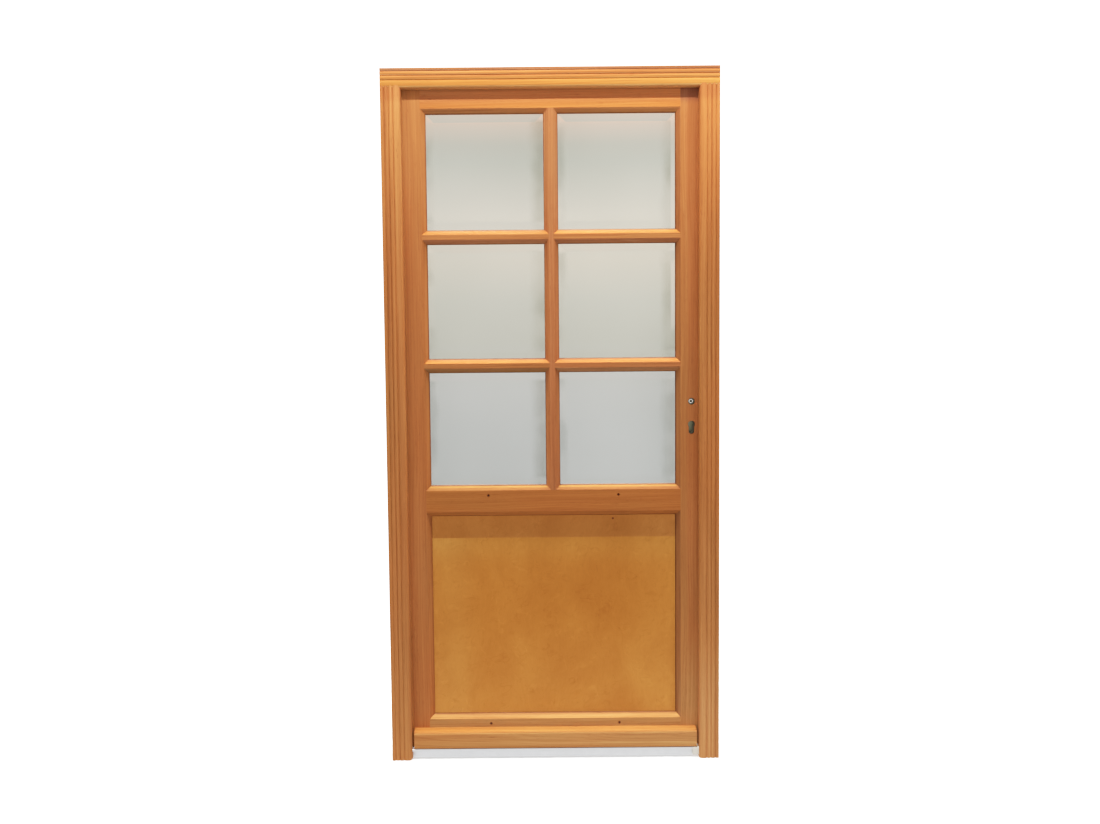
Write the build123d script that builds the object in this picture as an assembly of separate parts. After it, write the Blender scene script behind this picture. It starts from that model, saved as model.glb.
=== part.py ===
from build123d import *
import os
from math import sqrt

os.makedirs("parts", exist_ok=True)

# Half-glazed timber front door in its reeded frame.
# Millimetres. +X to the right seen from outside, +Y inwards, +Z up.
# The origin is on the floor, in the middle of the bounding box.
# "d" below is a depth measured inwards from the front face of the frame.

# ---------------------------------------------------------------- frame
FRAME_W = 1036.0            # over the jambs
FRAME_H = 2156.0            # floor to the top of the head
FRAME_DEPTH = 84.0
JAMB_FACE = 62.0            # face width of a jamb
HEAD_FACE = 59.0            # face height of the head
STOP_STEP = 12.0            # height of the stop above the rebate
STOP_DEPTH = 35.0           # depth of the stop
REED = 13.5                 # pitch of the reeds
REED_R = 8.26               # radius of a reed's crest
JAMB_VALLEY = 11.5          # first reed valley, from the outer edge
HEAD_VALLEY = 8.0           # first reed valley, from the top
ARRIS = 8.0                 # rounded inner edge
ARRIS_SAG = 1.8
DEPTH_ALL = 98.0            # frame front to the back of the hinge barrels
TENON_H = 31.0              # jamb tenon into the head

# ---------------------------------------------------------------- leaf
LEAF_X = 465.0              # half width
LEAF_Z0, LEAF_Z1 = 28.0, 2106.0
LEAF_D0, LEAF_D1 = 38.0, 84.0
STILE_IN = 401.0            # flat inner edge of a stile
MOULD_W = 15.0              # width of the sloping moulding
MOULD_D = 17.0              # depth of the sloping moulding
MOULD_SAG = 1.0             # roundness of the moulding
QUIRK = 2.0                 # square step behind the moulding
REBATE_W = 13.0             # glazing rebate
TOP_RAIL_EDGE = 2041.0
MID_RAIL = (788.0, 856.0)
BOTTOM_RAIL_EDGE = 120.0
BAR_FLAT = 15.0             # flat face of a glazing bar
BAR_ROWS = (1648.5, 1248.5) # centre heights of the horizontal bars
PILOT_R, PILOT_DEPTH = 2.75, 14.0
PILOT_X, PILOT_Z = 205.0, (840.0, 105.0)

# ---------------------------------------------------------------- glass and panel
GLASS_D0, GLASS_D1 = 55.0, 61.0
GLASS_BEVEL_W, GLASS_BEVEL_D = 36.0, 3.0
EDGE_PLAY = 2.0             # play round a pane
PANEL_D0, PANEL_D1 = 57.0, 69.0

# ---------------------------------------------------------------- weather bar and threshold
WBAR_X = 449.0
WBAR_D0 = 10.0
WBAR_Z0, WBAR_FRONT_Z, WBAR_BACK_Z = 34.0, 87.0, 93.3
SILL_X0, SILL_X1 = -456.0, 436.0
SILL_TOP = 22.0
SILL_NOSE = 14.0
SILL_LIP = (24.0, 32.0)      # lower and upper edge of the lip in front of the leaf
BLOCK_Z = (8.0, 32.5)

# ---------------------------------------------------------------- lock
LOCK_X = 435.0              # backset line
LOCK_D = 61.0               # middle of the leaf
FOLLOWER_Z = 1132.0
CYL_Z = 1060.0              # 72 mm below the follower
CASE = (417.0, 462.0, 53.5, 68.5, 1015.0, 1180.0)
CASE_WALL = 1.5
PLATE_T = 3.0
COVER = (415.0, 455.0, 998.0, 1198.0)   # plate on the inside of the stile: x, x, z, z
COVER_T = 2.5
DEAD_Z = (1081.0, 1103.0)

# ---------------------------------------------------------------- hinges
HINGE_Z = {"top": 1880.0, "middle": 1070.0, "bottom": 260.0}
HINGE_X, HINGE_D = -466.5, 91.3
BARREL_R, PIN_R = 6.7, 4.0
FLAP_T, FLAP_H = 2.5, 100.0
FIX_R = 5.0                 # fixing holes through the jambs
FIX_Z = (620.0, 1480.0)

Y_FRONT = -DEPTH_ALL / 2
HALF_W = FRAME_W / 2
JAMB_IN = HALF_W - JAMB_FACE                 # opening between the stops
REBATE_X = JAMB_IN + STOP_STEP               # opening between the rebates
SOFFIT = FRAME_H - HEAD_FACE
REBATE_Z = SOFFIT + STOP_STEP

nodes = {}


def keep(name, shape):
    nodes[name] = shape


def block(x0, x1, d0, d1, z0, z1):
    return Pos((x0 + x1) / 2, (d0 + d1) / 2 + Y_FRONT, (z0 + z1) / 2) * Box(
        x1 - x0, d1 - d0, z1 - z0)


def outline(place, start, steps):
    """Closed face: a step (a, b) is a line, (am, bm, a, b) an arc through am, bm."""
    edges, here = [], start
    for s in steps:
        end = tuple(s[-2:])
        if len(s) == 2:
            edges.append(Edge.make_line(place(*here), place(*end)))
        else:
            edges.append(Edge.make_three_point_arc(place(*here), place(s[0], s[1]), place(*end)))
        here = end
    if abs(here[0] - start[0]) + abs(here[1] - start[1]) > 1e-9:
        edges.append(Edge.make_line(place(*here), place(*start)))
    return Face(Wire(edges))


def along_z(start, steps, z0, z1):
    """Section given in (x, d), drawn out along Z."""
    face = outline(lambda x, d: Vector(x, d + Y_FRONT, z0), start, steps)
    return extrude(face, amount=z1 - z0, dir=(0, 0, 1))


def along_x(start, steps, x0, x1):
    """Section given in (d, z), drawn out along X."""
    face = outline(lambda d, z: Vector(x0, d + Y_FRONT, z), start, steps)
    return extrude(face, amount=x1 - x0, dir=(1, 0, 0))


def along_y(start, steps, d0, d1):
    """Section given in (x, z), drawn out along Y."""
    face = outline(lambda x, z: Vector(x, d0 + Y_FRONT, z), start, steps)
    return extrude(face, amount=d1 - d0, dir=(0, 1, 0))


def rod_x(x0, x1, d, z, r):
    return Pos((x0 + x1) / 2, d + Y_FRONT, z) * Rot(0, 90, 0) * Cylinder(r, x1 - x0)


def rod_y(x, d0, d1, z, r):
    return Pos(x, (d0 + d1) / 2 + Y_FRONT, z) * Rot(90, 0, 0) * Cylinder(r, d1 - d0)


def rod_z(x, d, z0, z1, r):
    return Pos(x, d + Y_FRONT, (z0 + z1) / 2) * Cylinder(r, z1 - z0)


def group(shapes):
    return Compound([s.solid() for s in shapes])


# ---------------------------------------------------------------- screws
def screw(x, d, z, way, grow=0.0):
    """Countersunk wood screw, head flush at x, pointing along way * X."""
    head_r, shank_r, head_t, length = 3.6 + grow, 1.9 + grow, 2.0, 26.0 + grow
    body = revolve(
        Face(Wire.make_polygon([
            Vector(x, d + Y_FRONT, z),
            Vector(x, d + Y_FRONT, z + head_r),
            Vector(x + way * head_t, d + Y_FRONT, z + shank_r),
            Vector(x + way * (length - 5), d + Y_FRONT, z + shank_r),
            Vector(x + way * length, d + Y_FRONT, z + 0.3),
            Vector(x + way * length, d + Y_FRONT, z),
        ], close=True)),
        axis=Axis((x, d + Y_FRONT, z), (1, 0, 0)), revolution_arc=360)
    return body


def driver_slot(x, d, z, way):
    """Cross slots in a screw head."""
    a = block(min(x, x + way * 0.9), max(x, x + way * 0.9), d - 2.0, d + 2.0, z - 0.4, z + 0.4)
    b = block(min(x, x + way * 0.9), max(x, x + way * 0.9), d - 0.4, d + 0.4, z - 2.0, z + 2.0)
    return a + b


# ---------------------------------------------------------------- frame sections
def crest(t):
    return REED_R - sqrt(REED_R ** 2 - t ** 2)


def reed_steps(centre, a, b, n):
    """n arcs along a reed's crest, from a to b."""
    out = []
    for i in range(n):
        m = a + (b - a) * (i + 0.5) / n
        e = a + (b - a) * (i + 1) / n
        out.append((m, crest(m - centre), e, crest(e - centre)))
    return out


def arris_steps(edge):
    """Rounded inner edge, from the face at edge - ARRIS to the reveal at edge."""
    a, b = (edge - ARRIS, 0.0), (edge, ARRIS)
    chord = ARRIS * sqrt(2)
    radius = (chord ** 2 / 4 + ARRIS_SAG ** 2) / (2 * ARRIS_SAG)
    # centre of the arc, on the timber side of the chord
    k = (radius - ARRIS_SAG) / sqrt(2)
    cu, cd = (a[0] + b[0]) / 2 - k, (a[1] + b[1]) / 2 + k
    out = []
    n = 4
    for i in range(n):
        pts = []
        for f in ((i + 0.5) / n, (i + 1.0) / n):
            pu, pd = a[0] + (b[0] - a[0]) * f, a[1] + (b[1] - a[1]) * f
            s = radius / sqrt((pu - cu) ** 2 + (pd - cd) ** 2)
            pts += [cu + (pu - cu) * s, cd + (pd - cd) * s]
        pts[2:] = [b[0], b[1]] if i == n - 1 else pts[2:]
        out.append(tuple(pts))
    return out


def frame_section(valley, face):
    """Steps in (u, d) with u from the outer edge, starting at (0, FRAME_DEPTH)."""
    c = valley - REED / 2
    steps = [(0.0, crest(c))]
    steps += reed_steps(c, 0.0, valley, 4)
    steps += reed_steps(valley + REED / 2, valley, valley + REED, 4)
    steps += reed_steps(valley + 1.5 * REED, valley + REED, valley + 2 * REED, 4)
    steps += reed_steps(valley + 2.5 * REED, valley + 2 * REED, valley + 2.5 * REED, 2)
    steps += [(face - ARRIS, 0.0)]
    steps += arris_steps(face)
    steps += [(face, STOP_DEPTH), (face - STOP_STEP, STOP_DEPTH), (face - STOP_STEP, FRAME_DEPTH)]
    return steps


def to_x(steps, side):
    """(u, d) steps to (x, d) on the jamb at side -1 or +1."""
    out = []
    for s in steps:
        v = list(s)
        for i in range(0, len(v), 2):
            v[i] = side * (HALF_W - v[i])
        out.append(tuple(v))
    return out


def to_z(steps):
    """(v, d) steps, v down from the top, to (d, z)."""
    out = []
    for s in steps:
        v = []
        for i in range(0, len(s), 2):
            v += [s[i + 1], FRAME_H - s[i]]
        out.append(tuple(v))
    return out


head = along_x((FRAME_DEPTH, FRAME_H), to_z(frame_section(HEAD_VALLEY, HEAD_FACE)), -HALF_W, HALF_W)
jambs = {}
for side in (-1, 1):
    raw = along_z((side * HALF_W, FRAME_DEPTH), to_x(frame_section(JAMB_VALLEY, JAMB_FACE), side),
                  0.0, REBATE_Z)
    jambs[side] = raw - head          # scribed under the head's rounded edge
for side in (-1, 1):
    xa, xb = sorted((side * (HALF_W - 15.0), side * (HALF_W - 43.0)))
    tenon = block(xa, xb, 44.0, 72.0, REBATE_Z - 4.0, REBATE_Z + TENON_H)
    jambs[side] = jambs[side] + tenon
    head = head - tenon

# compression seals in kerfs on the back of the stops
SEAL = [(57.0, 30.0), (57.0, 35.0), (61.0, 35.0), (61.0, 36.0), (56.0, 37.7, 51.0, 36.0),
        (51.0, 35.0), (55.0, 35.0)]
seals = {}
for side in (-1, 1):
    seals[side] = along_z((side * (HALF_W - 55.0), 30.0), to_x(SEAL, side), 24.0, SOFFIT)
    xa, xb = sorted((side * (HALF_W - 55.0), side * (HALF_W - 57.0)))
    jambs[side] = jambs[side] - block(xa, xb, 30.0, 35.0, 24.0, SOFFIT)
HEAD_SEAL = [(54.0, 30.0), (54.0, 35.0), (58.0, 35.0), (58.0, 36.0), (53.0, 37.7, 48.0, 36.0),
             (48.0, 35.0), (52.0, 35.0)]
seal_head = along_x((30.0, FRAME_H - 52.0), to_z(HEAD_SEAL), -467.0, 467.0)
head = head - block(-467.0, 467.0, 30.0, 35.0, FRAME_H - 54.0, FRAME_H - 52.0)

# ---------------------------------------------------------------- leaf timbers
MOULD_END = LEAF_D0 + MOULD_D            # back of the sloping moulding
SHOULDER = MOULD_END + QUIRK             # front of the glazing rebate


def mould_arcs(a0, a1):
    """Sloping moulding from (a0, LEAF_D0) to (a1, MOULD_END), slightly rounded, as (a, d) arcs."""
    la, ld = a1 - a0, MOULD_D
    chord = sqrt(la ** 2 + ld ** 2)
    radius = (chord ** 2 / 4 + MOULD_SAG ** 2) / (2 * MOULD_SAG)
    # normal that points out of the timber: forwards and towards the opening
    way = 1.0 if la > 0 else -1.0
    na, nd = way * ld / chord, -abs(la) / chord
    ca = (a0 + a1) / 2 - na * (radius - MOULD_SAG)
    cd = (LEAF_D0 + MOULD_END) / 2 - nd * (radius - MOULD_SAG)
    out, n = [], 3
    for i in range(n):
        pts = []
        for f in ((i + 0.5) / n, (i + 1.0) / n):
            pa, pd = a0 + la * f, LEAF_D0 + ld * f
            s = radius / sqrt((pa - ca) ** 2 + (pd - cd) ** 2)
            pts += [ca + (pa - ca) * s, cd + (pd - cd) * s]
        if i == n - 1:
            pts[2:] = [a1, MOULD_END]
        out.append(tuple(pts))
    return out


def edge_run(flat, way):
    """From the flat face at `flat`, round the moulding into the rebate and out at the back.
    way is the direction of the opening along the section's first axis."""
    tip = flat + way * MOULD_W
    wall = tip - way * REBATE_W
    return mould_arcs(flat, tip) + [(tip, SHOULDER), (wall, SHOULDER), (wall, LEAF_D1)]


def reverse_run(start, steps):
    """Turns a run from start through steps into the run back to start."""
    pts = [tuple(start)]
    kinds = []
    for s in steps:
        pts.append(tuple(s[-2:]))
        kinds.append(tuple(s[:2]) if len(s) == 4 else None)
    out = []
    for i in range(len(steps) - 1, -1, -1):
        out.append((kinds[i] + pts[i]) if kinds[i] else pts[i])
    return out


def swap(steps):
    """(z, d) steps to (d, z)."""
    out = []
    for s in steps:
        v = []
        for i in range(0, len(s), 2):
            v += [s[i + 1], s[i]]
        out.append(tuple(v))
    return out


def two_sided(c0, c1):
    """Section with a moulding on both edges, flat from c0 to c1: start and steps in (a, d)."""
    right = edge_run(c1, 1.0)
    left = edge_run(c0, -1.0)
    return (c0, LEAF_D0), [(c1, LEAF_D0)] + right + [left[-1][-2:]] + reverse_run((c0, LEAF_D0), left)


def stile(side):
    steps = [(side * STILE_IN, LEAF_D0)] + edge_run(side * STILE_IN, -side) + [(side * LEAF_X, LEAF_D1)]
    return along_z((side * LEAF_X, LEAF_D0), steps, LEAF_Z0, LEAF_Z1)


hinge_stile, lock_stile = stile(-1.0), stile(1.0)
STILES = (stile(-1.0), stile(1.0))       # whole sections, for the scribed ends

top_raw = along_x((LEAF_D0, LEAF_Z1),
                  swap([(TOP_RAIL_EDGE, LEAF_D0)] + edge_run(TOP_RAIL_EDGE, -1.0)
                       + [(LEAF_Z1, LEAF_D1)]), -STILE_IN, STILE_IN)
start, steps = two_sided(*MID_RAIL)
mid_raw = along_x((start[1], start[0]), swap(steps), -STILE_IN, STILE_IN)
bottom_raw = along_x((LEAF_D0, LEAF_Z0),
                     swap([(BOTTOM_RAIL_EDGE, LEAF_D0)] + edge_run(BOTTOM_RAIL_EDGE, 1.0)
                          + [(LEAF_Z0, LEAF_D1)]), -STILE_IN, STILE_IN)

start, steps = two_sided(-BAR_FLAT / 2, BAR_FLAT / 2)
bar_raw = along_z(start, steps, MID_RAIL[1], TOP_RAIL_EDGE)
vertical_bar = bar_raw - top_raw - mid_raw

rails = {"top_rail": top_raw, "middle_rail": mid_raw, "bottom_rail": bottom_raw}
tenon_z = {"top_rail": (2052.0, 2092.0), "middle_rail": (798.0, 846.0), "bottom_rail": (42.0, 108.0)}
for name in rails:
    rails[name] = rails[name] - STILES[0] - STILES[1]
    z0, z1 = tenon_z[name]
    left = block(-440.0, -392.0, 60.0, 74.0, z0, z1)
    right = block(392.0, 440.0, 60.0, 74.0, z0, z1)
    rails[name] = rails[name] + left + right
    hinge_stile = hinge_stile - left
    lock_stile = lock_stile - right

# stub tenons of the vertical bar
for rail, z0, z1 in (("top_rail", 2030.0, 2062.0), ("middle_rail", 835.0, 867.0)):
    stub = block(-6.0, 6.0, 64.0, 76.0, z0, z1)
    vertical_bar = vertical_bar + stub
    rails[rail] = rails[rail] - stub

bars = {}
for row, zc in zip(("upper", "lower"), BAR_ROWS):
    start, steps = two_sided(zc - BAR_FLAT / 2, zc + BAR_FLAT / 2)
    for side, word in ((-1.0, "left"), (1.0, "right")):
        xa, xb = sorted((side * STILE_IN, side * BAR_FLAT / 2))
        bar = along_x((start[1], start[0]), swap(steps), xa, xb)
        bar = bar - STILES[0 if side < 0 else 1] - bar_raw
        oa, ob = sorted((side * 394.0, side * 412.0))
        ia, ib = sorted((side * 16.0, side * 4.0))
        outer = block(oa, ob, 64.0, 76.0, zc - 6.0, zc + 6.0)
        inner = block(ia, ib, 64.0, 76.0, zc - 6.0, zc + 6.0)
        bars[row + "_" + word] = bar + outer + inner
        vertical_bar = vertical_bar - inner
        if side < 0:
            hinge_stile = hinge_stile - outer
        else:
            lock_stile = lock_stile - outer

# empty screw holes in the middle and bottom rails
for z, name in zip(PILOT_Z, ("middle_rail", "bottom_rail")):
    for side in (-1.0, 1.0):
        rails[name] = rails[name] - rod_y(side * PILOT_X, LEAF_D0 - 1.0, LEAF_D0 + PILOT_DEPTH, z, PILOT_R)

# ---------------------------------------------------------------- glass, panel and beads
WALL = MOULD_W - REBATE_W                # rebate wall, outside the flat edge
col = {"left": (-(STILE_IN - WALL), -(BAR_FLAT / 2 + WALL)), "right": (BAR_FLAT / 2 + WALL, STILE_IN - WALL)}
row_z = {"top": (BAR_ROWS[0] + BAR_FLAT / 2 + WALL, TOP_RAIL_EDGE - WALL),
         "middle": (BAR_ROWS[1] + BAR_FLAT / 2 + WALL, BAR_ROWS[0] - BAR_FLAT / 2 - WALL),
         "bottom": (MID_RAIL[1] + WALL, BAR_ROWS[1] - BAR_FLAT / 2 - WALL)}


def pane(x0, x1, z0, z1):
    g = block(x0, x1, GLASS_D0, GLASS_D1, z0, z1)
    w, t, d = GLASS_BEVEL_W, GLASS_BEVEL_D, GLASS_D0
    g = g - along_z((x0 - 1.0, d - 1.0), [(x0 + w, d - 1.0), (x0 + w, d), (x0, d + t), (x0 - 1.0, d + t)], z0 - 1, z1 + 1)
    g = g - along_z((x1 + 1.0, d - 1.0), [(x1 - w, d - 1.0), (x1 - w, d), (x1, d + t), (x1 + 1.0, d + t)], z0 - 1, z1 + 1)
    g = g - along_x((d - 1.0, z0 - 1.0), [(d - 1.0, z0 + w), (d, z0 + w), (d + t, z0), (d + t, z0 - 1.0)], x0 - 1, x1 + 1)
    g = g - along_x((d - 1.0, z1 + 1.0), [(d - 1.0, z1 - w), (d, z1 - w), (d + t, z1), (d + t, z1 + 1.0)], x0 - 1, x1 + 1)
    return g


def bead_run(wall, way, d0):
    """Bead section against a rebate wall, in (a, d); way points into the opening."""
    return (wall, d0), [(wall + way * 12.5, d0), (wall + way * 12.5, d0 + 6.0),
                        (wall + way * 8.5, LEAF_D1 - 1.5), (wall + way * 7.0, LEAF_D1), (wall, LEAF_D1)]


def beads(x0, x1, z0, z1, d0):
    up = []
    for wall, way in ((x0, 1.0), (x1, -1.0)):
        s, st = bead_run(wall, way, d0)
        up.append(along_z(s, st, z0, z1))
    across = []
    for wall, way in ((z0, 1.0), (z1, -1.0)):
        s, st = bead_run(wall, way, d0)
        across.append(along_x((s[1], s[0]), swap(st), x0, x1) - up[0] - up[1])
    return across, up


beads_h, beads_v = [], []
for rname, (z0, z1) in row_z.items():
    for cname, (x0, x1) in col.items():
        keep("glass_pane_" + rname + "_" + cname,
             pane(x0 + EDGE_PLAY, x1 - EDGE_PLAY, z0 + EDGE_PLAY, z1 - EDGE_PLAY))
        h, v = beads(x0, x1, z0, z1, GLASS_D1)
        beads_h += h
        beads_v += v
PANEL_BOX = (-(STILE_IN - WALL), STILE_IN - WALL, BOTTOM_RAIL_EDGE + WALL, MID_RAIL[0] - WALL)
panel = block(PANEL_BOX[0] + EDGE_PLAY, PANEL_BOX[1] - EDGE_PLAY, PANEL_D0, PANEL_D1,
              PANEL_BOX[2] + EDGE_PLAY, PANEL_BOX[3] - EDGE_PLAY)
ph, pv = beads(*PANEL_BOX, PANEL_D1)

# ---------------------------------------------------------------- weather bar
weather_bar = along_x(
    (LEAF_D0, WBAR_Z0),
    [(LEAF_D0, WBAR_BACK_Z), (WBAR_D0 + 6.0, WBAR_FRONT_Z), (WBAR_D0 + 2.6, 85.4, WBAR_D0 + 0.9, 82.6),
     (WBAR_D0 + 0.2, 80.8, WBAR_D0, 79.0), (WBAR_D0, WBAR_Z0 + 1.5), (WBAR_D0 + 1.5, WBAR_Z0),
     (WBAR_D0 + 7.0, WBAR_Z0), (WBAR_D0 + 9.5, WBAR_Z0 + 2.5, WBAR_D0 + 12.0, WBAR_Z0)],
    -WBAR_X, WBAR_X)

# ---------------------------------------------------------------- threshold
LIP_Z0, LIP_Z1 = SILL_LIP
RISER = 34.0                             # back of the lip, just in front of the leaf
sill_steps = [(SILL_NOSE, LIP_Z1 - 2.5), (SILL_NOSE + 0.5, LIP_Z1 - 1.2, SILL_NOSE + 1.8, LIP_Z1 - 0.8),
              (RISER - 1.2, LIP_Z1), (RISER - 0.35, LIP_Z1 - 0.35, RISER, LIP_Z1 - 1.2),
              (RISER, SILL_TOP - 1.0), (FRAME_DEPTH, SILL_TOP), (FRAME_DEPTH, 0.0),
              (FRAME_DEPTH - 3.0, 0.0), (FRAME_DEPTH - 3.0, SILL_TOP - 3.1), (RISER, SILL_TOP - 4.0),
              (RISER, 0.0), (RISER - 3.0, 0.0), (RISER - 3.0, LIP_Z1 - 2.8),
              (SILL_NOSE + 2.5, LIP_Z1 - 3.4), (SILL_NOSE + 2.5, LIP_Z0)]
threshold = along_x((SILL_NOSE, LIP_Z0), sill_steps, -REBATE_X, REBATE_X)
threshold = threshold - block(-REBATE_X - 1, SILL_X0, 0.0, STOP_DEPTH, -1.0, 40.0)
threshold = threshold - block(SILL_X1, REBATE_X + 1, 0.0, STOP_DEPTH, -1.0, 40.0)
end_block = block(SILL_X1, JAMB_IN, 10.0, STOP_DEPTH, *BLOCK_Z)
end_block = fillet(end_block.edges().filter_by(Axis.X).sort_by(Axis.Y)[:2], 1.5)

# ---------------------------------------------------------------- lock
case = block(*CASE)
case = case - block(CASE[0] + CASE_WALL, CASE[1] + 1.0, CASE[2] + CASE_WALL, CASE[3] - CASE_WALL,
                    CASE[4] + CASE_WALL, CASE[5] - CASE_WALL)


def profile_hole(r, half, tall, d0, d1):
    """Round hole at the cylinder line with a slot below it."""
    foot = CYL_Z + r - tall
    hole = rod_y(LOCK_X, d0, d1, CYL_Z, r)
    hole = hole + block(LOCK_X - half, LOCK_X + half, d0, d1, foot + half, CYL_Z)
    return hole + rod_y(LOCK_X, d0, d1, foot + half, half)


case = case - rod_y(LOCK_X, CASE[2] - 1, CASE[3] + 1, FOLLOWER_Z, 7.55)
case = case - profile_hole(8.6, 5.2, 33.0, CASE[2] - 1, CASE[3] + 1)

PLATE = (LEAF_X - PLATE_T, LEAF_X, LOCK_D - 11.0, LOCK_D + 11.0, 980.0, 1215.0)
faceplate = block(*PLATE)
faceplate = faceplate - block(PLATE[0] - 1, PLATE[1] + 1, LOCK_D - 5.9, LOCK_D + 5.9, FOLLOWER_Z - 12.4, FOLLOWER_Z + 12.4)
faceplate = faceplate - block(PLATE[0] - 1, PLATE[1] + 1, LOCK_D - 5.4, LOCK_D + 5.4, DEAD_Z[0] - 0.4, DEAD_Z[1] + 0.4)
plate_screws = []
for z in (992.0, 1203.0):
    faceplate = faceplate - screw(LEAF_X, LOCK_D, z, -1.0, 0.05)
    plate_screws.append(screw(LEAF_X, LOCK_D, z, -1.0) - driver_slot(LEAF_X, LOCK_D, z, -1.0))
    lock_stile = lock_stile - screw(LEAF_X, LOCK_D, z, -1.0, 0.05)

# latch: bevelled on the outside face, with a tail and a hook that the follower's arm pulls
latch = along_z((455.5, LOCK_D - 5.5), [(466.0, LOCK_D - 5.5), (476.4, 62.6), (476.8, 63.2, 477.0, 64.0),
                                        (477.0, LOCK_D + 5.5), (455.5, LOCK_D + 5.5)],
                FOLLOWER_Z - 12.0, FOLLOWER_Z + 12.0)
latch = latch + block(430.2, 458.0, 63.2, 66.2, FOLLOWER_Z + 9.5, FOLLOWER_Z + 20.0)
latch = latch + block(430.2, 432.2, 56.0, 66.2, FOLLOWER_Z + 9.5, FOLLOWER_Z + 20.0)

deadbolt = block(421.0, 464.8, LOCK_D - 5.0, LOCK_D + 5.0, *DEAD_Z)
deadbolt = chamfer(deadbolt.faces().sort_by(Axis.X)[-1].edges(), 0.6)

follower = rod_y(LOCK_X, CASE[2], CASE[3], FOLLOWER_Z, 7.5)
follower = follower + rod_y(LOCK_X, 55.4, 62.5, FOLLOWER_Z, 8.5)
follower = follower + block(LOCK_X - 2.5, LOCK_X + 2.5, 56.0, 62.5, FOLLOWER_Z + 4.0, FOLLOWER_Z + 18.0)
follower = follower - block(LOCK_X - 4.05, LOCK_X + 4.05, CASE[2] - 1, CASE[3] + 1, FOLLOWER_Z - 4.05, FOLLOWER_Z + 4.05)

# housing of the lock in the stile
g = 0.2
lock_stile = lock_stile - block(CASE[0] - g, LEAF_X, CASE[2] - g, CASE[3] + g, CASE[4] - g, CASE[5] + g)
lock_stile = lock_stile - block(*PLATE)
lock_stile = lock_stile - rod_y(LOCK_X, LEAF_D0 - 1, LEAF_D1 + 1, FOLLOWER_Z, 10.5)
lock_stile = lock_stile - profile_hole(11.0, 8.5, 42.0, LEAF_D0 - 1, LEAF_D1 + 1)

# plain plate on the inside of the lock stile, closing both holes there
def screw_in(x, d, z, grow=0.0):
    """Countersunk wood screw, head flush at depth d, pointing outwards along -Y."""
    return Pos(x, d + Y_FRONT, z) * Rot(0, 0, -90) * Pos(0, -Y_FRONT, 0) * screw(0.0, 0.0, 0.0, 1.0, grow)


cover = block(COVER[0], COVER[1], LEAF_D1, LEAF_D1 + COVER_T, COVER[2], COVER[3])
cover = fillet(cover.edges().filter_by(Axis.Y), 9.0)
cover = chamfer(cover.faces().sort_by(Axis.Y)[-1].edges(), 0.8)
cover_screws = []
for z in (COVER[2] + 8.0, COVER[3] - 8.0):
    tool = screw_in(LOCK_X, LEAF_D1 + COVER_T, z, 0.05)
    cover = cover - tool
    lock_stile = lock_stile - tool
    slots = block(LOCK_X - 2.0, LOCK_X + 2.0, LEAF_D1 + COVER_T - 0.9, LEAF_D1 + COVER_T, z - 0.4, z + 0.4)
    slots = slots + block(LOCK_X - 0.4, LOCK_X + 0.4, LEAF_D1 + COVER_T - 0.9, LEAF_D1 + COVER_T, z - 2.0, z + 2.0)
    cover_screws.append(screw_in(LOCK_X, LEAF_D1 + COVER_T, z) - slots)

# strike plate and the pockets behind it
STRIKE = (REBATE_X, REBATE_X + PLATE_T, LOCK_D - 12.0, LOCK_D + 12.0, 1050.0, 1178.0)
strike = block(*STRIKE)
latch_hole = (LOCK_D - 6.3, LOCK_D + 6.3, FOLLOWER_Z - 13.0, FOLLOWER_Z + 13.0)
dead_hole = (LOCK_D - 5.8, LOCK_D + 5.8, DEAD_Z[0] - 0.8, DEAD_Z[1] + 0.8)
for hole, depth in ((latch_hole, 481.0), (dead_hole, 489.0)):
    strike = strike - block(STRIKE[0] - 1, STRIKE[1] + 1, *hole)
    jambs[1] = jambs[1] - block(REBATE_X, depth, *hole)
jambs[1] = jambs[1] - block(*STRIKE)
strike_screws = []
for z in (1062.0, 1166.0):
    strike = strike - screw(REBATE_X, LOCK_D, z, 1.0, 0.05)
    jambs[1] = jambs[1] - screw(REBATE_X, LOCK_D, z, 1.0, 0.05)
    strike_screws.append(screw(REBATE_X, LOCK_D, z, 1.0) - driver_slot(REBATE_X, LOCK_D, z, 1.0))

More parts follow.
